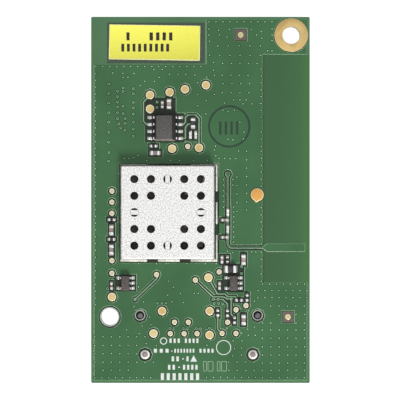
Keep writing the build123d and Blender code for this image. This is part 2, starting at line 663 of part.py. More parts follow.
def build():
    """Every node of the module, by name."""
    nodes = {
        "board": make_board(),
        "ground_pour": make_ground_pour(),
        "antenna_feed": make_antenna_feed(),
        "signal_traces": make_signal_traces(),
        "mounting_hole_ring": make_mounting_hole_ring(),
        "large_test_pads": group([on_front(disc) for disc in small_discs(LARGE_PADS, LARGE_PAD_R)]),
        "small_test_pads": group([on_front(disc) for disc in small_discs(SMALL_PADS, SMALL_PAD_R)]),
        "alignment_marks": group([on_front(disc) for disc in small_discs(MARKS, MARK_R)]),
        "inspection_dot": make_inspection_dot(),
        "label": make_label(),
        "shield_can": make_shield_can(),
        "shield_solder": make_shield_solder(),
        "radio_chip": under_can(*RADIO_CHIP),
        "crystal": under_can(*CRYSTAL),
        "rf_filter": under_can(*RF_FILTER),
        "power_inductor": under_can(*INDUCTOR),
        "radio_capacitors": make_radio_capacitors(),
        "memory_chip": make_chip_body(MEMORY),
        "memory_chip_leads": make_leads(MEMORY),
        "left_regulator": make_chip_body(LEFT_REGULATOR),
        "left_regulator_leads": make_leads(LEFT_REGULATOR),
        "right_regulator": make_chip_body(RIGHT_REGULATOR),
        "right_regulator_leads": make_leads(RIGHT_REGULATOR),
        "solder_joints": make_solder_joints(),
        "connector_housing": make_connector_housing(),
        "connector_contacts": make_connector_contacts(),
        "connector_posts": make_connector_posts(),
        "post_rings": make_post_rings(),
        "post_solder": make_post_solder(),
        "tail_solder": make_tail_solder(),
    }
    for name, *part in chip_places():
        nodes[name] = make_chip_part(*part)
    return nodes


os.makedirs("parts", exist_ok=True)
for node, shape in build().items():
    export_step(shape, f"parts/{node}.step")
    print(node, round(shape.volume, 3))
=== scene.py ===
"""Looks of the wifi module: finishes, printed fields, pads, vias, solder and the small chip parts."""
from math import atan2, cos, hypot, pi, radians, sin

import bpy
from mathutils import Matrix, Vector


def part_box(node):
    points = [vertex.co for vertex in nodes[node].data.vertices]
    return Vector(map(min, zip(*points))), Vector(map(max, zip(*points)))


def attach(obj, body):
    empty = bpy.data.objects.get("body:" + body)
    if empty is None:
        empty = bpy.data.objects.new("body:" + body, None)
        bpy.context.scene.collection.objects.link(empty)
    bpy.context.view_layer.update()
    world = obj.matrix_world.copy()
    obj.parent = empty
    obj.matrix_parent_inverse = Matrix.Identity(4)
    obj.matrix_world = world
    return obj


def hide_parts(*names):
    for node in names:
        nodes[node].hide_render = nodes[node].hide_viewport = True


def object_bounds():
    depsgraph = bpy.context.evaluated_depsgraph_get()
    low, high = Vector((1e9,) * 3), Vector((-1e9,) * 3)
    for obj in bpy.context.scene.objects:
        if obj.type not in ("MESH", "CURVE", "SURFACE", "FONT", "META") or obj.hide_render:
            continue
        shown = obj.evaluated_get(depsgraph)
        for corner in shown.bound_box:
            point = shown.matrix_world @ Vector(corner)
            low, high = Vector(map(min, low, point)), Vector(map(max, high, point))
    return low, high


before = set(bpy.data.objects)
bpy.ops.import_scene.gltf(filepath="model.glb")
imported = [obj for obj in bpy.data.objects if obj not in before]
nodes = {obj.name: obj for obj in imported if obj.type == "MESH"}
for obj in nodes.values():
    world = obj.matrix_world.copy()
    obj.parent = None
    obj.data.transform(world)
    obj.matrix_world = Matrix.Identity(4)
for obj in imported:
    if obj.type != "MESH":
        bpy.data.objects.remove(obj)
cad_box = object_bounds()
bpy.ops.object.select_all(action="DESELECT")

MM = 0.001
HAIR = 0.001 * MM
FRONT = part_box("board")[1].z
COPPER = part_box("ground_pour")[1].z

# Size of one of the photograph's pixels on the board, and the pixel over the board's centre
PIXEL = MM / 5.466
CENTRE_ACROSS, CENTRE_DOWN = 200.45, 199.9

# Fields of the board's front, in millimetres from its centre: left, bottom, right, top
HALF_W, HALF_L = 20.0, 33.5
POUR_MARGIN = 0.55
KEEPOUT = (11.35, -15.1, 20.1, 26.6)
LABEL_WINDOW = (-20.1, 24.85, 1.0, 33.6)
UNDER_CAN = (-14.2, -10.5, 2.3, 6.0)
RING_CORNER = (17.9, 31.2, 19.5, 33.0)
# Green of the keep-out field from its left edge to the board's edge: its own green, a painted shadow line at
# its left edge, and painted light near the board's edge
KEEPOUT_LIGHT_AND_SHADE = [(0.0, (50, 84, 52)), (0.06, (60, 97, 63)), (0.5, (60, 100, 65)), (0.8, (63, 105, 66)),
                 (0.9, (68, 112, 66)), (1.0, (64, 114, 58))]
TIN_TONES = [(0.37, (196, 195, 194)), (0.5, (234, 234, 232)), (0.63, (249, 248, 246))]


def spot(across, down):
    """Place on the board of a point of the photograph."""
    return (across - CENTRE_ACROSS) * PIXEL, (CENTRE_DOWN - down) * PIXEL


def field(left, top, right, bottom):
    """Rectangle on the board (x, y, width, length), from its edges in the photograph."""
    x, y = spot((left + right) / 2, (top + bottom) / 2)
    return x, y, (right - left) * PIXEL, (bottom - top) * PIXEL


def tone(red, green, blue):
    """Colour as a shader wants it, from its value on a screen."""
    return tuple(((c / 255 + 0.055) / 1.055) ** 2.4 if c > 10 else c / 255 / 12.92
                 for c in (red, green, blue))


# Finishes

def shader_of(made):
    return made.node_tree.nodes["Principled BSDF"]


def finish(name, colour, roughness, metallic=0.0, glint=0.5):
    """Plain shader that the detail is added to."""
    made = bpy.data.materials.new(name)
    made.use_nodes = True
    shader = shader_of(made)
    shader.inputs["Base Color"].default_value = (*tone(*colour), 1)
    shader.inputs["Roughness"].default_value = roughness
    shader.inputs["Metallic"].default_value = metallic
    shader.inputs["Specular IOR Level"].default_value = glint
    return made


def add(made, kind, **settings):
    """New node of a finish."""
    node = made.node_tree.nodes.new(kind)
    for key, value in settings.items():
        setattr(node, key, value)
    return node


def link(made, out, into):
    made.node_tree.links.new(out, into)


def grain(made, scale, stretch=(1, 1, 1), detail=3.0):
    """Noise that stays with the piece, with its grain size in cells per metre."""
    coordinates = add(made, "ShaderNodeTexCoord")
    mapping = add(made, "ShaderNodeMapping")
    mapping.inputs["Scale"].default_value = stretch
    noise = add(made, "ShaderNodeTexNoise")
    noise.inputs["Scale"].default_value = scale
    noise.inputs["Detail"].default_value = detail
    link(made, coordinates.outputs["Object"], mapping.inputs["Vector"])
    link(made, mapping.outputs["Vector"], noise.inputs["Vector"])
    return noise.outputs["Fac"]


def tones(made, pattern, stops):
    """Colour that wanders between tones along a pattern."""
    ramp = add(made, "ShaderNodeValToRGB")
    elements = ramp.color_ramp.elements
    for index, (position, colour) in ((0, stops[0]), (1, stops[-1])):
        elements[index].position = position
        elements[index].color = (*tone(*colour), 1)
    for position, colour in stops[1:-1]:
        elements.new(position).color = (*tone(*colour), 1)
    link(made, pattern, ramp.inputs["Fac"])
    return ramp.outputs["Color"]


def paint(made, colour):
    link(made, colour, shader_of(made).inputs["Base Color"])


def shine(made, pattern, low, high):
    """Roughness that wanders between two values."""
    spread = add(made, "ShaderNodeMapRange")
    spread.inputs["To Min"].default_value = low
    spread.inputs["To Max"].default_value = high
    link(made, pattern, spread.inputs["Value"])
    link(made, spread.outputs["Result"], shader_of(made).inputs["Roughness"])


def relief(made, pattern, depth):
    """Fine bumps, with their depth in millimetres."""
    bump = add(made, "ShaderNodeBump")
    bump.inputs["Strength"].default_value = 1
    bump.inputs["Distance"].default_value = depth * MM
    link(made, pattern, bump.inputs["Height"])
    link(made, bump.outputs["Normal"], shader_of(made).inputs["Normal"])


def rise(made, axis, low, high):
    """Pattern that rises from 0 to 1 between two values, in metres, along an axis of the part."""
    coordinates = add(made, "ShaderNodeTexCoord")
    parts = add(made, "ShaderNodeSeparateXYZ")
    spread = add(made, "ShaderNodeMapRange")
    spread.inputs["From Min"].default_value = low
    spread.inputs["From Max"].default_value = high
    link(made, coordinates.outputs["Object"], parts.inputs["Vector"])
    link(made, parts.outputs[axis], spread.inputs["Value"])
    return spread.outputs["Result"]


def sum_of(made, operation, *patterns):
    """Patterns added, multiplied or subtracted one after another."""
    total = patterns[0]
    for pattern in patterns[1:]:
        step = add(made, "ShaderNodeMath", operation=operation)
        link(made, total, step.inputs[0])
        link(made, pattern, step.inputs[1])
        total = step.outputs["Value"]
    return total


def inside(made, left, bottom, right, top, soft=0.02):
    """Pattern that is 1 inside a rectangle on the board, in millimetres, and 0 outside."""
    edges = [rise(made, axis, (value - soft) * MM, (value + soft) * MM)
             for axis, value in (("X", left), ("X", right), ("Y", bottom), ("Y", top))]
    across = sum_of(made, "SUBTRACT", edges[0], edges[1])
    along = sum_of(made, "SUBTRACT", edges[2], edges[3])
    return sum_of(made, "MULTIPLY", across, along)


def blend_of(made, share, first, second):
    """Mix of two colours."""
    mix = add(made, "ShaderNodeMix", data_type="RGBA")
    link(made, share, mix.inputs["Factor"])
    link(made, first, mix.inputs["A"])
    link(made, second, mix.inputs["B"])
    return mix.outputs["Result"]


def masked_laminate():
    """Mask over bare laminate, with painted shade in the gaps between copper and under the can, painted light
    and shade across the keep-out, and the cut fibres on the edges.
    """
    made = finish("masked_laminate", (60, 99, 63), 0.36, glint=0.2)
    speck = grain(made, 90)
    # Painted shade in the gaps between copper, with some mask pooled there
    gap_shade = tones(made, speck, [(0.35, (34, 44, 34)), (0.65, (44, 58, 43))])
    strip = tones(made, rise(made, "X", KEEPOUT[0] * MM, HALF_W * MM), KEEPOUT_LIGHT_AND_SHADE)
    window = tones(made, speck, [(0.35, (74, 114, 78)), (0.65, (82, 122, 86))])
    # Painted shade on the laminate under the can
    under_can_shade = tones(made, speck, [(0.35, (64, 61, 58)), (0.65, (78, 74, 71))])
    back = tones(made, speck, [(0.35, (57, 100, 63)), (0.65, (65, 110, 71))])
    copper_zone = inside(made, POUR_MARGIN - HALF_W, POUR_MARGIN - HALF_L,
                         HALF_W - POUR_MARGIN, HALF_L - POUR_MARGIN)
    front = blend_of(made, copper_zone, window, gap_shade)
    front = blend_of(made, inside(made, *KEEPOUT), front, strip)
    front = blend_of(made, inside(made, *LABEL_WINDOW), front, window)
    front = blend_of(made, inside(made, *UNDER_CAN), front, under_can_shade)
    front = blend_of(made, inside(made, *RING_CORNER), front, back)
    mask = blend_of(made, rise(made, "Z", 0.4 * FRONT, 0.6 * FRONT), back, front)
    fibres = grain(made, 900, (0.4, 0.4, 9))
    cut = tones(made, fibres, [(0.35, (96, 118, 78)), (0.65, (128, 146, 104))])
    above_back = rise(made, "Z", 0.03 * MM, 0.05 * MM)
    at_front = rise(made, "Z", FRONT - 0.05 * MM, FRONT - 0.03 * MM)
    paint(made, blend_of(made, sum_of(made, "SUBTRACT", above_back, at_front), mask, cut))
    relief(made, grain(made, 2600), 0.006)
    return made


def masked_copper(name, under_can_shade, light, glint=0.2):
    """Mask over copper: a green that wanders a little."""
    made = finish(name, under_can_shade, 0.34, glint=glint)
    paint(made, tones(made, grain(made, 110, detail=5), [(0.35, under_can_shade), (0.65, light)]))
    relief(made, grain(made, 2200), 0.006)
    shine(made, grain(made, 300), 0.3, 0.4)
    return made


def gold_wash(name, under_can_shade, light, roughness=0.32):
    """Thin gold over nickel, warmer in some places than in others."""
    made = finish(name, under_can_shade, roughness, metallic=0.25)
    paint(made, tones(made, grain(made, 260, detail=1), [(0.3, under_can_shade), (0.7, light)]))
    relief(made, grain(made, 5200), 0.004)
    return made


def tinned_sheet():
    """Tinned steel sheet with its fine rolled grain."""
    made = finish("tinned_sheet", (228, 228, 226), 0.4, metallic=0.5)
    paint(made, tones(made, grain(made, 4200, detail=2), TIN_TONES))
    relief(made, grain(made, 3000), 0.012)
    shine(made, grain(made, 1500), 0.34, 0.5)
    return made


def tin(name, colour, roughness, metallic=0.8):
    """Solder or tin plating, slightly uneven."""
    made = finish(name, colour, roughness, metallic=metallic)
    darker = tuple(c * 0.86 for c in colour)
    paint(made, tones(made, grain(made, 1400), [(0.35, darker), (0.6, colour)]))
    relief(made, grain(made, 1800), 0.012)
    return made


def moulding(name, under_can_shade, light, roughness):
    """Filled moulding compound with a fine speckle."""
    made = finish(name, under_can_shade, roughness, glint=0.35)
    paint(made, tones(made, grain(made, 5200, detail=2), [(0.38, under_can_shade), (0.62, light)]))
    relief(made, grain(made, 4200), 0.01)
    return made


def fired(name, under_can_shade, light, roughness):
    """Fired ceramic body of a chip part."""
    made = finish(name, under_can_shade, roughness)
    paint(made, tones(made, grain(made, 1500), [(0.35, under_can_shade), (0.65, light)]))
    relief(made, grain(made, 3000), 0.006)
    return made


def housing_plastic():
    """Black moulding of the connector, whose peg ends are painted paler: a painted highlight where light
    falls on their tops.
    """
    made = moulding("housing_plastic", (30, 30, 31), (40, 40, 41), 0.48)
    # Painted highlight on the tops of the pegs
    lit_peg_top = tones(made, grain(made, 2600), [(0.35, (84, 80, 84)), (0.6, (118, 112, 118))])
    plain = tones(made, grain(made, 5200, detail=2), [(0.38, (30, 30, 31)), (0.62, (40, 40, 41))])
    peg_end = rise(made, "Z", FRONT - 0.22 * MM, FRONT - 0.17 * MM)
    paint(made, blend_of(made, peg_end, plain, lit_peg_top))
    return made


LAMINATE = masked_laminate()
MASKED_COPPER = masked_copper("masked_copper", (57, 100, 63), (65, 110, 71))
MASKED_TRACE = masked_copper("masked_trace", (112, 148, 114), (134, 168, 134))
THIN_MASK = masked_copper("thin_mask", (104, 146, 108), (124, 164, 126))
LIT_MASK = masked_copper("lit_mask", (164, 196, 164), (186, 214, 184))
# Painted shade on the vias' shoulders and a painted highlight in their middles
VIA_SHADE = masked_copper("via_shade", (32, 62, 38), (42, 72, 47), 0.1)
RING_VIA_SHADE = masked_copper("ring_via_shade", (24, 42, 28), (34, 54, 38), 0.1)
VIA_HIGHLIGHT = masked_copper("via_highlight", (132, 176, 137), (160, 204, 163))
FEED_EDGE = masked_copper("feed_edge", (128, 156, 130), (152, 180, 152))
PAD_GOLD = gold_wash("pad_gold", (204, 170, 108), (216, 198, 138))
PAD_RIM = gold_wash("pad_rim", (222, 214, 174), (234, 226, 192))
PAD_GROOVE = gold_wash("pad_groove", (190, 174, 126), (202, 188, 140))
MARK_GOLD = gold_wash("mark_gold", (196, 186, 126), (206, 196, 138))
RING_GOLD = gold_wash("ring_gold", (204, 174, 108), (214, 184, 120), 0.4)
SMALL_GOLD = gold_wash("small_gold", (202, 186, 160), (208, 200, 156))
SMALL_RIM = gold_wash("small_rim", (222, 218, 190), (232, 228, 204))
BARE_BOARD = moulding("bare_board", (92, 86, 76), (110, 103, 92), 0.6)
HOLE_RIM = moulding("hole_rim", (150, 160, 148), (182, 190, 178), 0.5)
PAINT_DROP = moulding("paint_drop", (219, 161, 75), (226, 169, 86), 0.28)
PAINT_EDGE = moulding("paint_edge", (240, 216, 168), (248, 226, 184), 0.3)
PAINT_SHADOW = moulding("paint_shadow_line", (44, 58, 26), (58, 74, 36), 0.5)
LABEL_FACE = moulding("label_face", (242, 239, 92), (247, 244, 102), 0.5)
LABEL_EDGE = moulding("label_edge", (246, 243, 168), (250, 247, 186), 0.55)
LABEL_INK = moulding("label_ink", (38, 34, 34), (52, 47, 46), 0.5)
BOARD_PRINT = moulding("board_print", (208, 214, 208), (234, 238, 234), 0.55)
FAINT_PRINT = moulding("faint_print", (150, 178, 148), (168, 192, 164), 0.5)
STAMP_INK = moulding("stamp_ink", (30, 58, 42), (38, 68, 50), 0.5)
LABEL_SHADOW = moulding("label_shadow_field", (58, 76, 60), (68, 86, 70), 0.5)
DEEP_LINE = moulding("deep_line", (30, 40, 30), (40, 50, 38), 0.6)
CAN_SHEET = tinned_sheet()
SOLDER = tin("solder", (242, 242, 240), 0.26, 0.5)
RING_SOLDER = tin("ring_solder", (252, 252, 246), 0.34, 0.12)
FOOT_SOLDER = tin("foot_solder", (230, 230, 218), 0.32, 0.6)
FOOT_SHADE = tin("foot_shade", (26, 28, 26), 0.6, 0.1)
FOOT_WALL_SHADE = moulding("foot_wall_shade", (46, 50, 46), (60, 64, 59), 0.6)
LEAD_TIN = tin("lead_tin", (242, 242, 240), 0.28, 0.5)
LEAD_SHADE = tin("lead_shade", (72, 70, 67), 0.45, 0.2)
STRAP_EDGE_SHADE = tin("strap_edge_shade", (88, 86, 84), 0.5, 0.3)
POST_TIN = tin("post_tin", (158, 142, 142), 0.36, 0.5)
CAP_TIN = tin("cap_tin", (236, 236, 234), 0.3, 0.7)
CHIP_MOULD = moulding("chip_mould", (68, 67, 66), (100, 98, 96), 0.5)
REGULATOR_MOULD = moulding("regulator_mould", (70, 64, 62), (98, 90, 87), 0.5)
# Painted shade and painted highlight for the slopes of the moulded bodies
SHADED_BEVEL = moulding("shaded_bevel", (34, 31, 30), (50, 46, 44), 0.55)
LIT_BEVEL = moulding("lit_bevel", (118, 108, 104), (148, 138, 133), 0.45)
HIDDEN_MOULD = moulding("hidden_mould", (66, 63, 61), (80, 76, 73), 0.6)
HOUSING_PLASTIC = housing_plastic()
CONTACT_GOLD = gold_wash("contact_gold", (196, 156, 82), (214, 178, 104), 0.24)
RESISTOR_GLAZE = fired("resistor_glaze", (38, 36, 38), (52, 50, 52), 0.3)
BROWN_GLAZE = fired("brown_glaze", (116, 84, 72), (134, 100, 86), 0.4)
PINK_CERAMIC = fired("pink_ceramic", (158, 142, 136), (174, 158, 152), 0.42)
TAN_CERAMIC = fired("tan_ceramic", (142, 126, 118), (160, 144, 134), 0.42)
GREY_CERAMIC = fired("grey_ceramic", (128, 122, 118), (148, 142, 138), 0.42)
FERRITE = fired("ferrite", (40, 40, 42), (56, 56, 58), 0.4)
WHITE_CERAMIC = fired("white_ceramic", (214, 212, 206), (230, 228, 222), 0.4)
CRYSTAL_LID = tin("crystal_lid", (206, 196, 170), 0.28, 0.85)


# Tools for shaping

RING_SIDES = 64
# Thickness of print, in millimetres
INK = 0.006


def start_edit(piece, mode="FACE"):
    """Opens one piece for shaping."""
    bpy.ops.object.select_all(action="DESELECT")
    piece.select_set(True)
    bpy.context.view_layer.objects.active = piece
    bpy.ops.object.mode_set(mode="EDIT")
    bpy.ops.mesh.select_mode(type=mode)
    bpy.ops.mesh.select_all(action="SELECT")


def end_edit():
    bpy.ops.object.mode_set(mode="OBJECT")


def pick_faces(piece, test):
    """Selects the faces that pass a test, by centre and normal."""
    bpy.ops.mesh.select_all(action="DESELECT")
    end_edit()
    for face in piece.data.polygons:
        face.select = test(face.center, face.normal)
    bpy.ops.object.mode_set(mode="EDIT")


def coat(piece, *finishes):
    """Gives a piece its finishes, and keeps which face has which."""
    kept = [min(face.material_index, len(finishes) - 1) for face in piece.data.polygons]
    piece.data.materials.clear()
    for made in finishes:
        piece.data.materials.append(made)
    for face, index in zip(piece.data.polygons, kept):
        face.material_index = index


def dress(piece, slot, *stood_for):
    """Puts a piece on the module and hides the nodes that it stands for. The slot is not used."""
    if stood_for:
        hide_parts(*stood_for)
    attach(piece, "root")
    return piece


def empty_piece(name):
    piece = bpy.data.objects.new(name, bpy.data.meshes.new(name))
    bpy.context.scene.collection.objects.link(piece)
    return piece


def copy_of(node, name, whole_faces=True):
    """Copy of a CAD node to be refined. Its triangles become whole faces, unless those would have holes."""
    piece = empty_piece(name)
    piece.data = nodes[node].data.copy()
    piece.data.materials.clear()
    start_edit(piece)
    bpy.ops.mesh.remove_doubles(threshold=0.0005 * MM)
    if whole_faces:
        bpy.ops.mesh.dissolve_limited(angle_limit=radians(0.5))
    end_edit()
    return piece


def round_edges(piece, width):
    """Softens the sharp edges and shades the piece smooth."""
    bevel = piece.modifiers.new("soft", "BEVEL")
    bevel.width = width * MM
    bevel.segments = 2
    bevel.limit_method = "ANGLE"
    bevel.angle_limit = radians(30)
    bpy.ops.object.select_all(action="DESELECT")
    piece.select_set(True)
    bpy.context.view_layer.objects.active = piece
    bpy.ops.object.modifier_apply(modifier="soft")
    bpy.ops.object.shade_smooth_by_angle(angle=radians(40))
    return piece


def loose_boxes(node):
    """Lowest and highest corners of each separate solid in a CAD node."""
    piece = copy_of(node, "parting")
    start_edit(piece)
    bpy.ops.mesh.separate(type="LOOSE")
    end_edit()
    boxes = []
    for part in list(bpy.context.selected_objects):
        points = [v.co for v in part.data.vertices]
        boxes.append((Vector([min(p[i] for p in points) for i in range(3)]),
                      Vector([max(p[i] for p in points) for i in range(3)])))
        bpy.data.objects.remove(part)
    return boxes


def centres_of(node):
    """Centre of each separate solid in a CAD node."""
    return [((low.x + high.x) / 2, (low.y + high.y) / 2) for low, high in loose_boxes(node)]


def scattered(name, master, places):
    """One piece made of copies of a small shape."""
    bpy.ops.object.select_all(action="DESELECT")
    for x, y in places:
        copy = master.copy()
        copy.data = master.data.copy()
        copy.data.transform(Matrix.Translation((x, y, 0)))
        bpy.context.scene.collection.objects.link(copy)
        copy.select_set(True)
        bpy.context.view_layer.objects.active = copy
    bpy.ops.object.join()
    piece = bpy.context.view_layer.objects.active
    piece.name = name
    bpy.data.objects.remove(master)
    return piece


def flat_fields(name, shapes, level, thickness=0.012):
    """Printed fields: rectangles (x, y, width, length) or polygons (points), in metres, raised a hair."""
    piece = empty_piece(name)
    start_edit(piece)
    for shape in shapes:
        if len(shape) == 4 and not isinstance(shape[0], tuple):
            x, y, width, length = shape
            bpy.ops.mesh.primitive_plane_add(size=1, location=(x, y, level))
            bpy.ops.transform.resize(value=(width, length, 1))
        else:
            bpy.ops.mesh.select_all(action="DESELECT")
            bpy.ops.mesh.primitive_circle_add(vertices=len(shape), radius=1 * MM, fill_type="NGON",
                                              location=(0, 0, level))
            end_edit()
            chosen = [v for v in piece.data.vertices if v.select]
            for vertex, (x, y) in zip(chosen, shape):
                vertex.co = (x, y, level)
            bpy.ops.object.mode_set(mode="EDIT")
    bpy.ops.mesh.select_all(action="SELECT")
    bpy.ops.mesh.normals_make_consistent(inside=False)
    end_edit()
    for face in piece.data.polygons:
        if face.normal.z < 0:
            face.flip()
    start_edit(piece)
    bpy.ops.mesh.extrude_region_move(TRANSFORM_OT_translate={"value": (0, 0, thickness * MM)})
    bpy.ops.mesh.select_all(action="SELECT")
    bpy.ops.mesh.normals_make_consistent(inside=False)
    end_edit()
    return piece


def flat_ring(name, centre, outer, inner, level, thickness=0.012):
    """Printed ring, raised a hair."""
    bpy.ops.mesh.primitive_circle_add(vertices=RING_SIDES, radius=outer, location=(0, 0, 0), fill_type="NGON")
    ring = bpy.context.active_object
    ring.name = name
    start_edit(ring)
    bpy.ops.mesh.inset(thickness=(outer - inner) * cos(pi / RING_SIDES))
    bpy.ops.mesh.delete(type="FACE")
    bpy.ops.mesh.select_all(action="SELECT")
    bpy.ops.mesh.extrude_region_move(TRANSFORM_OT_translate={"value": (0, 0, thickness * MM)})
    bpy.ops.mesh.select_all(action="SELECT")
    bpy.ops.mesh.normals_make_consistent(inside=False)
    end_edit()
    ring.data.transform(Matrix.Translation((*centre, level)))
    return ring


def strip_outline(points, width):
    """Outline of a thin line of even width along a path."""
    left, right = [], []
    for index, (x, y) in enumerate(points):
        ahead = points[min(index + 1, len(points) - 1)]
        behind = points[max(index - 1, 0)]
        turn = atan2(ahead[1] - behind[1], ahead[0] - behind[0]) + pi / 2
        left.append((x + cos(turn) * width / 2, y + sin(turn) * width / 2))
        right.append((x - cos(turn) * width / 2, y - sin(turn) * width / 2))
    return left + right[::-1]


# Copper under the mask, thinly covered at its edges

def sloped_copper(node, name, face_finish, edge=0.075, drop=0.035, edge_finish=THIN_MASK):
    """Mask over copper whose edge slopes down to the laminate, with a painted highlight on the edge faces
    that face left.
    """
    piece = copy_of(node, name, whole_faces=False)
    coat(piece, face_finish, edge_finish, LIT_MASK)
    start_edit(piece)
    pick_faces(piece, lambda centre, normal: normal.z > 0.9)
    bpy.ops.mesh.inset(thickness=edge * MM, use_boundary=True)
    end_edit()
    kept = {v for face in piece.data.polygons if face.select for v in face.vertices}
    for vertex in piece.data.vertices:
        if vertex.index not in kept and vertex.co.z > COPPER - HAIR:
            vertex.co.z -= drop * MM
    # Edge faces that face left get a painted highlight, the others the edge finish
    for face in piece.data.polygons:
        if not face.select:
            across, along = face.normal.x, face.normal.y
            lit = across < -0.35 * hypot(across, along) and hypot(across, along) > 0.1
            face.material_index = 2 if lit else 1
    return dress(piece, "masked_copper", node)


sloped_copper("ground_pour", "pour_under_mask", MASKED_COPPER)
sloped_copper("signal_traces", "traces_under_mask", MASKED_TRACE, 0.045, 0.03)
sloped_copper("antenna_feed", "feed_under_mask", MASKED_COPPER, 0.07, 0.03, FEED_EDGE)


# Bare round pads, each with a pale rim and a warm middle, in millimetres

LARGE_PAD_R, SMALL_PAD_R, MARK_R = 0.77, 0.47, 0.5
LARGE_RIM, SMALL_RIM_WIDTH, MARK_RIM = 0.15, 0.13, 0.11
PAD_BEVEL = 0.03
PAD_LIP = 0.012
GROOVE = 0.07
WARM_SHARE = 0.4


def round_pad(radius, rim, height):
    """Round pad with a slightly higher rim and a groove inside it."""
    bpy.ops.mesh.primitive_circle_add(vertices=36, radius=radius * MM, fill_type="NGON", location=(0, 0, 0))
    pad = bpy.context.active_object
    start_edit(pad)
    bpy.ops.mesh.extrude_region_move(TRANSFORM_OT_translate={"value": (0, 0, height)})
    bpy.ops.mesh.inset(thickness=PAD_BEVEL * MM)
    bpy.ops.transform.translate(value=(0, 0, PAD_LIP * MM))
    bpy.ops.mesh.inset(thickness=rim * MM)
    bpy.ops.mesh.inset(thickness=GROOVE * MM)
    bpy.ops.transform.translate(value=(0, 0, -PAD_LIP * MM))
    bpy.ops.mesh.select_all(action="SELECT")
    bpy.ops.mesh.normals_make_consistent(inside=False)
    end_edit()
    pad.data.transform(Matrix.Translation((0, 0, FRONT)))
    rim_start = (radius - rim - PAD_BEVEL) * MM
    for face in pad.data.polygons:
        reach = hypot(face.center.x, face.center.y)
        face.material_index = 0 if reach < rim_start * WARM_SHARE else 2 if reach < rim_start else 1
    return pad


def bare_pads(node, name, radius, rim, middle, rim_finish=PAD_RIM):
    """Bare pads in place of the CAD's many-sided ones."""
    pad = round_pad(radius, rim, COPPER - FRONT)
    coat(pad, middle, rim_finish, PAD_GROOVE)
    return dress(scattered(name, pad, centres_of(node)), "gold_plating", node)


LARGE_PLACES = centres_of("large_test_pads")
SMALL_PLACES = centres_of("small_test_pads")
MARK_PLACES = centres_of("alignment_marks")
bare_pads("large_test_pads", "large_bare_pads", LARGE_PAD_R, LARGE_RIM, PAD_GOLD)
bare_pads("small_test_pads", "small_bare_pads", SMALL_PAD_R, SMALL_RIM_WIDTH, SMALL_GOLD, SMALL_RIM)
bare_pads("alignment_marks", "sighting_marks", MARK_R, MARK_RIM, MARK_GOLD)


# Vias: small craters in the mask, at places in the photograph's pixels

# Rows: down, first across, step, count
VIA_ROWS = [
    (21.8, 209, 7.0, 10), (66.5, 95.7, 7.0, 16), (45.8, 217.7, 10.7, 5), (55.4, 209.5, 10.2, 6),
    (63.5, 222.7, 8.6, 5), (75.3, 222.2, 8.6, 4), (83.5, 223.1, 8.8, 4), (92.6, 222.2, 8.9, 4),
    (99.8, 233.6, 6.3, 3), (158.5, 218.9, 5.6, 4), (284.1, 262.4, 7.0, 7), (290.5, 257.9, 7.0, 8),
    (297.5, 257.9, 7.0, 8), (306.1, 270.6, 8.4, 5), (323, 262.4, 8.4, 2), (323, 296, 8.4, 2),
    (329.9, 262.4, 8.4, 6), (338.1, 262.4, 8.4, 6), (346.7, 262.4, 8.4, 6), (355, 262.4, 8.4, 6),
    (363, 262.4, 8.4, 6), (370.3, 262.4, 8.4, 6), (377.5, 262.4, 8.4, 6), (336.7, 94.6, 8.4, 7),
    (345.4, 94.6, 8.4, 6), (353.6, 94.6, 8.4, 6), (362.2, 94.6, 8.4, 8), (370.2, 94.6, 8.4, 5),
    (377.5, 94.6, 7.0, 9), (377.3, 206.5, 7.0, 8), (362.1, 228.5, 8.5, 4), (370.3, 228.9, 8.4, 4),
]
# Columns: across, first down, step, count
VIA_COLUMNS = [
    (95.4, 73.5, 6.8, 35), (261.2, 69, 6.9, 8), (261.4, 132, 7.2, 3), (261.3, 151.3, 7.0, 6),
    (261.2, 207.5, 7.3, 6), (261.2, 252, 7.3, 5), (246.5, 151.3, 8.4, 8), (236.9, 176.9, 8.6, 5),
    (223.4, 179.6, 5.5, 6), (232.9, 179.6, 5.4, 2), (233.6, 207, 5.0, 8), (304.6, 314.5, 8.4, 1),
]
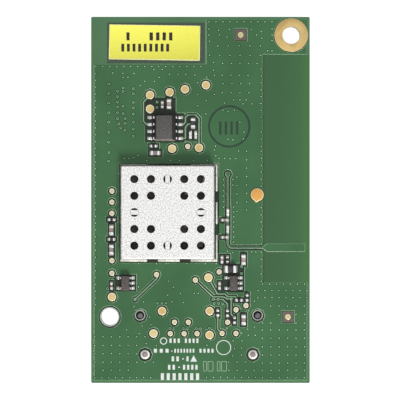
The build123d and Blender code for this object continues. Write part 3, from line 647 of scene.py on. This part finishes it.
# Vias in no row: across, down
VIA_SINGLES = [
    (209, 29), (218.6, 30.4), (229.5, 29.5), (251.3, 29.5), (261.2, 31.3), (272.1, 29), (209, 35),
    (219.5, 35), (226.8, 37.2), (256.7, 35), (261.7, 38.1), (272.1, 35), (272.1, 40.5), (209.5, 41.3),
    (267.6, 50.8), (272.1, 50.8), (213.6, 62.6), (213.6, 70.3), (206.8, 77.1), (214.5, 75.3),
    (224.5, 103), (243.1, 103.9), (252.1, 103.9), (260.3, 103.4), (197.7, 82.6), (197.7, 94.4),
    (197.7, 105.7), (205.9, 113.9), (206.3, 100.7), (214.5, 94.4), (223, 110.3), (228.1, 111.6),
    (234.5, 110.3), (239.9, 122.1), (244, 132), (243.5, 138.8), (215.4, 146.1), (233.1, 139.8),
    (228.1, 139.3), (238.6, 151.1), (214.4, 149.9), (215.7, 155.8), (138.1, 155.3), (133.7, 157.5),
    (124.3, 158.4), (128.8, 158.4), (146.6, 160.6), (170.3, 160.4), (179.6, 160.8), (193.5, 160.4),
    (207.3, 160.4), (118.5, 173.6), (138.6, 263.6), (156.4, 263.6), (166.3, 263.6), (186.8, 263.6),
    (205.5, 263.6), (216.3, 263.6), (168.5, 281.2), (153.8, 69.4), (162.2, 69.4), (169.4, 74.3),
    (178.3, 74.3), (185.9, 74.3), (194.8, 75.2), (144.8, 81.4), (154.6, 81.4), (140.4, 85.4),
    (159.1, 77.4), (112.7, 73), (123, 73.4), (134.1, 73.4), (128, 77.2), (123.2, 77.4), (227.4, 251.1),
    (232.8, 252.5), (251.7, 252), (255.8, 252), (126.7, 329.7), (139.3, 333.4), (142.4, 326.1),
    (150.8, 324.5), (146.2, 343.5), (134, 306.5), (143.5, 301.8), (138.6, 286.8), (173.4, 287.2),
    (167.6, 295.2), (180.3, 293.3), (194.4, 293.3), (198.2, 293.3), (183.3, 302.5), (171.8, 301.8),
    (149.7, 317.1), (156.5, 345.4), (254.4, 301.2), (248.7, 310.5), (254.4, 327.1), (247.6, 329),
    (248.3, 335.1), (255.2, 335.2), (241.9, 340.8), (233.1, 340.8), (241.9, 333.2), (206.8, 345.3),
    (234.6, 348.5), (241.5, 348), (232.7, 355.6), (241.5, 355), (279, 314.5), (296, 314.5),
]
# Wider vias that show as a ring with a painted highlight: across, down
RINGED_VIAS = [
    (108.7, 83.7), (108.7, 93.5), (108.7, 102.9), (108.7, 112.7), (108.7, 122), (108.7, 132.3),
    (108.7, 142.1), (108.9, 152.6), (108.7, 161.1), (117.6, 91.3), (117.6, 96.6), (117.6, 102),
    (117.6, 106.9), (117.6, 112.7), (117.6, 118.5), (118.9, 123.8), (120.7, 127.9), (124.7, 130.1),
    (123.2, 87.7), (123.2, 91.3), (122.9, 106), (122.9, 113.6), (125.2, 118.5), (125.2, 123.4),
    (133.4, 88.6), (133.4, 93.5), (133.4, 102.4), (133.4, 107.8), (133.4, 114), (133.4, 122),
    (133.4, 128.8), (133.4, 136.3), (157.7, 303.1), (161.9, 303.1), (166.1, 303.1), (169.9, 328.5),
    (174.1, 328.5), (183.3, 328.5), (187.5, 328.5), (196.3, 328.5), (200.5, 328.5), (213.7, 299.3),
    (218.3, 299.3), (214.1, 303.5), (218.6, 303.5), (222.8, 303.9), (107.5, 288.5), (241.5, 266.5),
    (241.5, 273.5), (157, 102), (157, 107.5), (209.5, 328), (227, 328),
]


def via_places():
    """All the plain vias, on the board."""
    places = [spot(first + step * i, down)
              for down, first, step, count in VIA_ROWS for i in range(count)]
    places += [spot(across, first + step * i)
               for across, first, step, count in VIA_COLUMNS for i in range(count)]
    return places + [spot(*point) for point in VIA_SINGLES]


PARTS = [name for name in nodes if any(word in name for word in ("resistor", "capacitor", "bead", "inductor"))
         and name not in ("radio_capacitors", "power_inductor")]
KEPT_CLEAR = {name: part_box(name) for name in
              PARTS + ["shield_solder", "memory_chip", "memory_chip_leads", "left_regulator_leads",
                       "right_regulator_leads", "label", "inspection_dot", "mounting_hole_ring"]}
# How far the vias keep from the middles of the pads, and from the parts, in millimetres
PADS_KEPT_CLEAR = ((LARGE_PLACES, 0.79), (SMALL_PLACES, 0.52))
VIA_REACH, RINGED_REACH = 0.25, 0.1


def clear_of_parts(place, reach):
    """True where a via, with its reach in metres, touches no pad, part or label."""
    x, y = place
    for pads, radius in PADS_KEPT_CLEAR:
        if any(hypot(x - px, y - py) < radius * MM + reach for px, py in pads):
            return False
    for low, high in KEPT_CLEAR.values():
        if low.x - reach < x < high.x + reach and low.y - reach < y < high.y + reach:
            return False
    return True


# Radius, depth and mouth, in millimetres
SMALL_VIA = (0.24, 0.03, 0.14)
WIDE_VIA = (0.35, 0.04, 0.24)
VIA_FOOT = COPPER - 0.01 * MM
DIP = 0.4


def crater(radius, depth, mouth, level, lit_middle=True):
    """Filled via: an upright rim, a shoulder that slopes down with painted shade, and a dome or ring in it
    with a painted highlight.
    """
    bpy.ops.mesh.primitive_circle_add(vertices=10, radius=radius * MM, fill_type="NGON", location=(0, 0, 0))
    bowl = bpy.context.active_object
    start_edit(bowl)
    bpy.ops.mesh.extrude_region_move(TRANSFORM_OT_translate={"value": (0, 0, depth * MM)})
    bpy.ops.mesh.inset(thickness=(radius - mouth) * MM)
    bpy.ops.transform.translate(value=(0, 0, -depth * DIP * MM))
    bpy.ops.mesh.inset(thickness=mouth * DIP * MM)
    bpy.ops.transform.translate(value=(0, 0, depth * DIP * MM))
    bpy.ops.mesh.select_all(action="SELECT")
    bpy.ops.mesh.normals_make_consistent(inside=False)
    end_edit()
    for face in bowl.data.polygons:
        reach = hypot(face.center.x, face.center.y)
        highlit = reach < mouth * MM * 0.9 and (lit_middle or reach > mouth * MM * 0.3)
        face.material_index = 1 if highlit else 0
    bowl.data.transform(Matrix.Translation((0, 0, level)))
    return bowl


PLAIN_VIAS = [place for place in via_places() if clear_of_parts(place, VIA_REACH * MM)]
RINGED = [place for place in (spot(*point) for point in RINGED_VIAS)
          if clear_of_parts(place, RINGED_REACH * MM)]

small_crater = crater(*SMALL_VIA, VIA_FOOT)
coat(small_crater, VIA_SHADE, VIA_HIGHLIGHT)
dress(scattered("stitching_vias", small_crater, PLAIN_VIAS), "masked_copper")
wide_crater = crater(*WIDE_VIA, VIA_FOOT, lit_middle=False)
coat(wide_crater, RING_VIA_SHADE, VIA_HIGHLIGHT)
dress(scattered("signal_vias", wide_crater, RINGED), "masked_copper")
housing_low, housing_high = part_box("connector_housing")
BACK_VIAS = [(x, y) for x, y in PLAIN_VIAS + RINGED
             if not (housing_low.x < x < housing_high.x and housing_low.y < y < housing_high.y)]
back_crater = crater(*SMALL_VIA, 0)
back_crater.data.transform(Matrix.Diagonal((1, 1, -1, 1)))
start_edit(back_crater)
bpy.ops.mesh.normals_make_consistent(inside=False)
end_edit()
coat(back_crater, VIA_SHADE, VIA_HIGHLIGHT)
dress(scattered("back_vias", back_crater, BACK_VIAS), "masked_copper")


# Label with its rows of plain blocks

# Edges of the painted shadow round the label: left, top, right, bottom
LABEL_SHADOW_EDGES = (107.0, 22.5, 204.8, 63.3)
# Rows of plain blocks: left, right, top, bottom, and how many blocks stand there
LABEL_ROWS = [(125, 131, 32.5, 40.5, 1), (148, 174, 32.5, 40.5, 4), (120, 170.5, 43.8, 51.6, 9)]
PALE_EDGE = 0.16


def blocks(left, right, top, bottom, count, share=0.52):
    """Row of plain upright blocks between four edges."""
    step = (right - left) / count
    half = step * share / 2
    middles = [left + step * (i + 0.5) for i in range(count)]
    return [field(middle - half, top, middle + half, bottom) for middle in middles]


def all_blocks(rows):
    return [block for row in rows for block in blocks(*row)]


# Painted shadow of the label, a dark field a little larger than it
label_shadow_field = flat_fields("label_shadow_field", [field(*LABEL_SHADOW_EDGES)], FRONT, INK)
coat(label_shadow_field, LABEL_SHADOW)
dress(label_shadow_field, "green_laminate")
label = copy_of("label", "label_sheet")
round_edges(label, 0.03)
coat(label, LABEL_FACE, LABEL_EDGE)
start_edit(label)
pick_faces(label, lambda centre, normal: normal.z > 0.9)
bpy.ops.mesh.inset(thickness=PALE_EDGE * MM)
end_edit()
for face in label.data.polygons:
    face.material_index = 0 if face.select else 1
dress(label, "yellow_label", "label")
label_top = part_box("label")[1].z
label_rows = flat_fields("label_print", all_blocks(LABEL_ROWS), label_top, INK)
coat(label_rows, LABEL_INK)
dress(label_rows, "yellow_label")


# White print on the board, as plain blocks, two rings and a triangle

# Rows of plain blocks: left, right, top, bottom, and how many blocks stand there
UPPER_ROWS = [
    (168.5, 180.8, 338.6, 342.9, 3), (184, 199.3, 338.6, 342.9, 4), (152.5, 170, 348.8, 352.6, 3),
    (170.8, 172.8, 350.4, 351.6, 1), (173.6, 195, 348.8, 352.6, 7), (198.5, 214.5, 348.8, 352.6, 4),
    (170.5, 180, 356.4, 361.2, 2), (181.5, 184.5, 358.2, 359.4, 1), (185.5, 189.5, 356.4, 361.2, 1),
]
TRIANGLE = [spot(193.6, 355.2), spot(197, 361.6), spot(190.4, 361.6)]
LOWER_ROWS = [
    (167, 176, 364.8, 369.6, 2), (177.5, 180.8, 366.6, 367.8, 1), (182, 198.5, 364.8, 369.6, 4),
    (159.5, 200.5, 373.2, 380, 7),
]
# Printed rings: middle across and down, outer radius, width of the line
PRINTED_RINGS = {"ring_print": (223.6, 347.5, 7.5, 0.8), "small_ring_print": (163.6, 341, 3.6, 0.9)}

white = flat_fields("board_print", all_blocks(UPPER_ROWS) + [TRIANGLE] + all_blocks(LOWER_ROWS), COPPER)
coat(white, BOARD_PRINT)
dress(white, "white_ceramic")
for name, (across, down, outer, line) in PRINTED_RINGS.items():
    ring = flat_ring(name, spot(across, down), outer * PIXEL, (outer - line) * PIXEL, COPPER)
    coat(ring, BOARD_PRINT)
    dress(ring, "white_ceramic")


# Four faint plain frames beside the white print

FRAME_TOP, FRAME_BOTTOM = 361.5, 371
FRAME_SIDES = ((203.5, 206.5), (208, 213), (217.3, 220), (221.5, 226.5))
FRAME_LINE = 0.09

frames = []
for left, right in FRAME_SIDES:
    corners = [spot(across, down) for down in (FRAME_TOP, FRAME_BOTTOM) for across in (left, right)]
    for start, end in ((0, 1), (2, 3), (0, 2), (1, 3)):
        frames.append(strip_outline([corners[start], corners[end]], FRAME_LINE * MM))
faint = flat_fields("faint_frames", frames, COPPER, INK)
coat(faint, FAINT_PRINT)
dress(faint, "white_ceramic")


# Ink stamp: a ring with four plain bars in it

STAMP_MIDDLE = spot(229.2, 126.4)
STAMP_OUTER, STAMP_INNER = 21.2 * PIXEL, 19.2 * PIXEL
STAMP_BARS = (217.5, 240, 121.5, 134.5, 4)

stamp = flat_ring("stamp_ring", STAMP_MIDDLE, STAMP_OUTER, STAMP_INNER, COPPER, INK)
coat(stamp, STAMP_INK)
dress(stamp, "masked_copper")
stamp_bars = flat_fields("stamp_bars", blocks(*STAMP_BARS, share=0.4), COPPER, INK)
coat(stamp_bars, STAMP_INK)
dress(stamp_bars, "masked_copper")


# Square windows of bare board round the sighting marks

WINDOW = 2.05 * MM
windows = flat_fields("mark_windows", [(x, y, WINDOW, WINDOW) for x, y in MARK_PLACES], FRONT, 0.01)
coat(windows, BARE_BOARD)
dress(windows, "green_laminate")


# Bare rims of the holes with a dark line round each, and the dark line and lip round each post

# Radii of the bore, the rim and the line, in millimetres
SCREW_HOLE_RADII = (1.6, 1.78, 2.0)
PEG_RADII = (0.79, 0.96, 1.14)
# Outer and inner radii
POST_LINE_RADII = (1.04, 0.9)
POST_LIP_RADII = (0.95, 0.81)
HOLES = {"screw_hole": (spot(109.7, 316.8), *SCREW_HOLE_RADII),
         "left_peg": (spot(140, 315.2), *PEG_RADII), "right_peg": (spot(257.6, 315.2), *PEG_RADII)}
POSTS = dict(zip(("first_post", "second_post"), centres_of("connector_posts")))


def round_line(name, centre, outer, inner, level, thickness, made):
    """Raised line round a hole or a post, with its radii in millimetres."""
    ring = flat_ring(name, centre, outer * MM, inner * MM, level, thickness)
    coat(ring, made)
    dress(ring, "green_laminate")


for name, (centre, bore, rim, line) in HOLES.items():
    round_line(name + "_rim", centre, rim, bore, FRONT, 0.015, HOLE_RIM)
    round_line(name + "_line", centre, line, rim, FRONT, 0.015, DEEP_LINE)
for name, centre in POSTS.items():
    round_line(name + "_line", centre, *POST_LINE_RADII, FRONT, 0.015, DEEP_LINE)
for name, centre in POSTS.items():
    round_line(name + "_lip", centre, *POST_LIP_RADII, COPPER, 0.03, DEEP_LINE)


# Ring of the plated screw hole with its pale outer rim

GOLD_REACH = 2.9

plated = copy_of("mounting_hole_ring", "plated_ring")
round_edges(plated, 0.02)
coat(plated, RING_GOLD, PAD_RIM)
low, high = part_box("mounting_hole_ring")
middle = (low + high) / 2
for face in plated.data.polygons:
    reach = hypot(face.center.x - middle.x, face.center.y - middle.y)
    face.material_index = 1 if reach > GOLD_REACH * MM else 0
dress(plated, "gold_plating", "mounting_hole_ring")


# Inspection paint: a low drop with a thin pale edge and a painted shadow line round it

PAINT_SKIRT = 0.07 * MM
PAINT_SHADOW_RADII = (1.34 * MM, 1.12 * MM)
PAINT_MIDDLE = 1.19 * MM

drop = copy_of("inspection_dot", "paint_drop")
coat(drop, PAINT_DROP, PAINT_EDGE)
start_edit(drop)
pick_faces(drop, lambda centre, normal: normal.z > 0.9 and centre.z > COPPER + 0.05 * MM)
bpy.ops.mesh.inset(thickness=PALE_EDGE * MM)
end_edit()
for face in drop.data.polygons:
    face.material_index = 0 if face.select else 1
inner = {v for face in drop.data.polygons if face.select for v in face.vertices}
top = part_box("inspection_dot")[1].z
for vertex in drop.data.vertices:
    if vertex.co.z > top - HAIR and vertex.index not in inner:
        vertex.co.z -= PAINT_SKIRT
bpy.ops.object.shade_smooth_by_angle(angle=radians(50))
dress(drop, "orange_paint", "inspection_dot")
low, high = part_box("inspection_dot")
shadow_centre = ((low.x + high.x) / 2, high.y - PAINT_MIDDLE)
paint_shadow_line = flat_ring("paint_shadow_line", shadow_centre, *PAINT_SHADOW_RADII, COPPER, INK)
coat(paint_shadow_line, PAINT_SHADOW)
dress(paint_shadow_line, "orange_paint")


# Thin line of painted shade on the rolled edge of each of the can's holes that a strap crosses

STRAP_REACH = 6.04
STRAP_RADII = (0.81 * MM, 0.755 * MM)

can_low, can_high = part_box("shield_can")
can_middle = (can_low + can_high) / 2
for name, across, along in (("top", 0, 1), ("left", -1, 0), ("right", 1, 0), ("bottom", 0, -1)):
    centre = (can_middle.x + across * STRAP_REACH * MM, can_middle.y + along * STRAP_REACH * MM)
    ring = flat_ring(name + "_strap_edge_shade", centre, *STRAP_RADII, can_high.z, 0.004)
    coat(ring, STRAP_EDGE_SHADE)
    dress(ring, "tinned_steel")


# Two-ended chip parts: a fired block between tinned caps

# Each cap's share of the length, and how far it stands proud of the block, in millimetres
CAP_SHARE = 0.25
CAP_STEP = 0.03
LOW_PART = 0.6


def chip_part(node, body_finish):
    """Chip part in the box of its CAD node."""
    low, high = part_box(node)
    size, centre = high - low, (high + low) / 2
    length, width, height = max(size.x, size.y), min(size.x, size.y), size.z
    bpy.ops.mesh.primitive_cube_add(size=1, location=(0, 0, 0))
    part = bpy.context.active_object
    part.name = node + "_chip"
    part.data.transform(Matrix.Diagonal((length, width, height, 1)))
    start_edit(part)
    block_end = length * (0.5 - CAP_SHARE)
    for side in (-1, 1):
        bpy.ops.mesh.select_all(action="SELECT")
        bpy.ops.mesh.bisect(plane_co=(side * block_end, 0, 0), plane_no=(1, 0, 0))
    pick_faces(part, lambda centre, normal: abs(centre.x) < block_end and abs(normal.x) < 0.5)
    bpy.ops.mesh.extrude_region_shrink_fatten(TRANSFORM_OT_shrink_fatten={"value": -CAP_STEP * MM})
    end_edit()
    for face in part.data.polygons:
        face.material_index = 0 if abs(face.center.x) < block_end * 0.98 else 1
    round_edges(part, 0.045 if height < LOW_PART * MM else 0.07)
    coat(part, body_finish, CAP_TIN)
    turn = Matrix.Rotation(pi / 2, 4, "Z") if size.y > size.x else Matrix.Identity(4)
    part.data.transform(Matrix.Translation(centre) @ turn)
    return part


BODIES = {
    "upper_bulk_capacitor": PINK_CERAMIC, "upper_filter_capacitor": GREY_CERAMIC,
    "flash_bypass_capacitor": FERRITE, "flash_pullup_resistor_left": WHITE_CERAMIC,
    "flash_pullup_resistor_right": WHITE_CERAMIC, "flash_series_resistor": RESISTOR_GLAZE,
    "flash_supply_bead": GREY_CERAMIC, "column_capacitor_upper": TAN_CERAMIC,
    "column_capacitor_lower": GREY_CERAMIC, "left_regulator_resistor": BROWN_GLAZE,
    "interface_bulk_capacitor": TAN_CERAMIC, "supply_ferrite_bead": FERRITE,
    "right_regulator_input_capacitor": PINK_CERAMIC, "right_regulator_output_capacitor": PINK_CERAMIC,
}
for node in PARTS:
    if node in BODIES:
        body = BODIES[node]
    elif "resistor" in node:
        body = RESISTOR_GLAZE
    elif "inductor" in node:
        body = WHITE_CERAMIC
    else:
        body = TAN_CERAMIC
    slot = "grey_ferrite" if "bead" in node else "black_resistor" if "resistor" in node else "tan_ceramic"
    dress(chip_part(node, body), slot, node)


# Solder and leads with soft edges

for node, name, width, made, slot in (
        ("solder_joints", "solder_banks", 0.05, SOLDER, "solder"),
        ("post_solder", "post_solder_cones", 0.04, RING_SOLDER, "solder"),
        ("tail_solder", "tail_lands", 0.02, SOLDER, "solder"),
        ("connector_contacts", "gold_contacts", 0.03, CONTACT_GOLD, "gold_contacts"),
        ("connector_posts", "soldered_posts", 0.05, POST_TIN, "tinned_leads")):
    piece = round_edges(copy_of(node, name), width)
    coat(piece, made)
    dress(piece, slot, node)


# Leads, whose sloping risers get painted shade, darker than their knees and feet

for node, name, width in (("memory_chip_leads", "memory_leads", 0.04),
                          ("left_regulator_leads", "left_regulator_pins", 0.03),
                          ("right_regulator_leads", "right_regulator_pins", 0.03)):
    piece = copy_of(node, name)
    for face in piece.data.polygons:
        face.material_index = 1 if 0.15 < abs(face.normal.z) < 0.9 else 0
    round_edges(piece, width)
    coat(piece, LEAD_TIN, LEAD_SHADE)
    dress(piece, "tinned_leads", node)


# Moulded bodies and the can's foot, whose slopes are painted: slopes turned from the lamp get painted shade,
# and the memory chip's slopes that face the lamp a painted highlight

# Corners of the memory chip's top face in the photograph: lower left, upper right
CHIP_TOP = (spot(156.1, 139.5), spot(172.1, 115.8))


def by_slope(face):
    """0 for a flat or upright face, 1 for a slope that faces the lamp, 2 for any other slope."""
    if face.normal.z > 0.97 or face.normal.z < 0.1:
        return 0
    return 1 if face.normal.y < -0.6 else 2


def fit_top(piece, lower_left, upper_right):
    """Draws a body's top face in to a rectangle on the board."""
    level = max(vertex.co.z for vertex in piece.data.vertices) - HAIR
    upper = [vertex for vertex in piece.data.vertices if vertex.co.z > level]
    for axis in (0, 1):
        low, high = lower_left[axis], upper_right[axis]
        old = [vertex.co[axis] for vertex in upper]
        for vertex, value in zip(upper, old):
            vertex.co[axis] = low + (value - min(old)) / (max(old) - min(old)) * (high - low)


for node, name, width, finishes, slot in (
        ("memory_chip", "memory_body", 0.04, (CHIP_MOULD, LIT_BEVEL, SHADED_BEVEL), "mould_compound"),
        ("left_regulator", "left_regulator_body", 0.03, (REGULATOR_MOULD, REGULATOR_MOULD, SHADED_BEVEL),
         "mould_compound"),
        ("right_regulator", "right_regulator_body", 0.03, (REGULATOR_MOULD, REGULATOR_MOULD, SHADED_BEVEL),
         "mould_compound"),
        ("shield_solder", "can_foot_solder", 0.03, (FOOT_SOLDER, FOOT_SOLDER, FOOT_SHADE), "solder")):
    piece = copy_of(node, name)
    if node == "memory_chip":
        fit_top(piece, *CHIP_TOP)
    round_edges(piece, width)
    for face in piece.data.polygons:
        # All of the foot behind the can gets painted shade, where the can's shadow falls
        shaded_behind_can = node == "shield_solder" and face.center.y > can_high.y
        face.material_index = 2 if shaded_behind_can else by_slope(face)
    coat(piece, *finishes)
    dress(piece, slot, node)


# Strips of painted shade along the foot of the can's right wall, between its notches

SHADE_LEFT, SHADE_RIGHT = 214.5, 216.0
SHADE_ENDS = ((165.8, 191.7), (202.3, 224), (234.9, 259.4))

foot_wall_shade = flat_fields("foot_wall_shade", [field(SHADE_LEFT, top, SHADE_RIGHT, bottom) for top, bottom in SHADE_ENDS],
                       COPPER, INK)
coat(foot_wall_shade, FOOT_WALL_SHADE)
dress(foot_wall_shade, "solder")


# Nodes whose shape is right keep it and get their finish

KEPT_NODES = {
    "board": LAMINATE, "shield_can": CAN_SHEET, "connector_housing": HOUSING_PLASTIC,
    "post_rings": RING_SOLDER, "radio_chip": HIDDEN_MOULD, "crystal": CRYSTAL_LID,
    "rf_filter": WHITE_CERAMIC, "power_inductor": FERRITE, "radio_capacitors": TAN_CERAMIC,
}
for node, made in KEPT_NODES.items():
    coat(nodes[node], made)


# Floor, light and camera

FLOOR_GLOW, FLOOR_TONE = 0.97, 0.3
# The camera's distance from the board's front, and the width of what it sees there, in millimetres
CAMERA_REACH, VIEW_WIDTH = 290, 73.18
SENSOR = 36
PICTURE_MIDDLE = spot(200, 200)


def studio_white(made, strength, own):
    """Floor that looks white to the camera and in reflections, and keeps the shadow."""
    shader = shader_of(made)
    path = add(made, "ShaderNodeLightPath")
    seen = add(made, "ShaderNodeMath", operation="MAXIMUM")
    seen_glass = add(made, "ShaderNodeMath", operation="MAXIMUM")
    link(made, path.outputs["Is Camera Ray"], seen.inputs[0])
    link(made, path.outputs["Is Glossy Ray"], seen.inputs[1])
    link(made, seen.outputs["Value"], seen_glass.inputs[0])
    link(made, path.outputs["Is Transmission Ray"], seen_glass.inputs[1])
    glow = add(made, "ShaderNodeEmission")
    scaled = add(made, "ShaderNodeMath", operation="MULTIPLY")
    scaled.inputs[1].default_value = strength
    link(made, seen_glass.outputs["Value"], scaled.inputs[0])
    link(made, scaled.outputs["Value"], glow.inputs["Strength"])
    both = add(made, "ShaderNodeAddShader")
    link(made, shader.outputs["BSDF"], both.inputs[0])
    link(made, glow.outputs["Emission"], both.inputs[1])
    link(made, both.outputs["Shader"], made.node_tree.nodes["Material Output"].inputs["Surface"])
    shader.inputs["Base Color"].default_value = (own, own, own, 1)
    return made


bpy.ops.mesh.primitive_plane_add(size=3, location=(0, 0, cad_box[0][2] - 0.0001))
floor = bpy.context.active_object
floor.name = "studio_floor"
coat(floor, studio_white(finish("studio_floor", (255, 255, 255), 0.9), FLOOR_GLOW, FLOOR_TONE))

scene = bpy.context.scene
world = bpy.data.worlds.new("studio")
scene.world = world
world.use_nodes = True
background = world.node_tree.nodes["Background"]
background.inputs["Color"].default_value = (1, 1, 1, 1)
background.inputs["Strength"].default_value = 0.4


def lamp(name, place, size, power):
    """Soft box that looks at the board's centre."""
    light = bpy.data.lights.new(name, "AREA")
    light.shape = "SQUARE"
    light.size = size
    light.energy = power
    held = bpy.data.objects.new(name, light)
    held.location = place
    held.rotation_euler = (-Vector(place)).to_track_quat("-Z", "Y").to_euler()
    scene.collection.objects.link(held)


lamp("key_box", (0.12, -0.5, 0.46), 0.22, 3.7)
lamp("top_box", (0.0, 0.0, 0.75), 0.5, 0.8)

camera_data = bpy.data.cameras.new("camera")
camera_data.sensor_width = SENSOR
camera_data.lens = SENSOR * CAMERA_REACH / VIEW_WIDTH
camera_data.clip_start = 0.01
camera = bpy.data.objects.new("camera", camera_data)
camera.location = (*PICTURE_MIDDLE, FRONT + CAMERA_REACH * MM)
scene.collection.objects.link(camera)
scene.camera = camera
scene.view_settings.view_transform = "Standard"
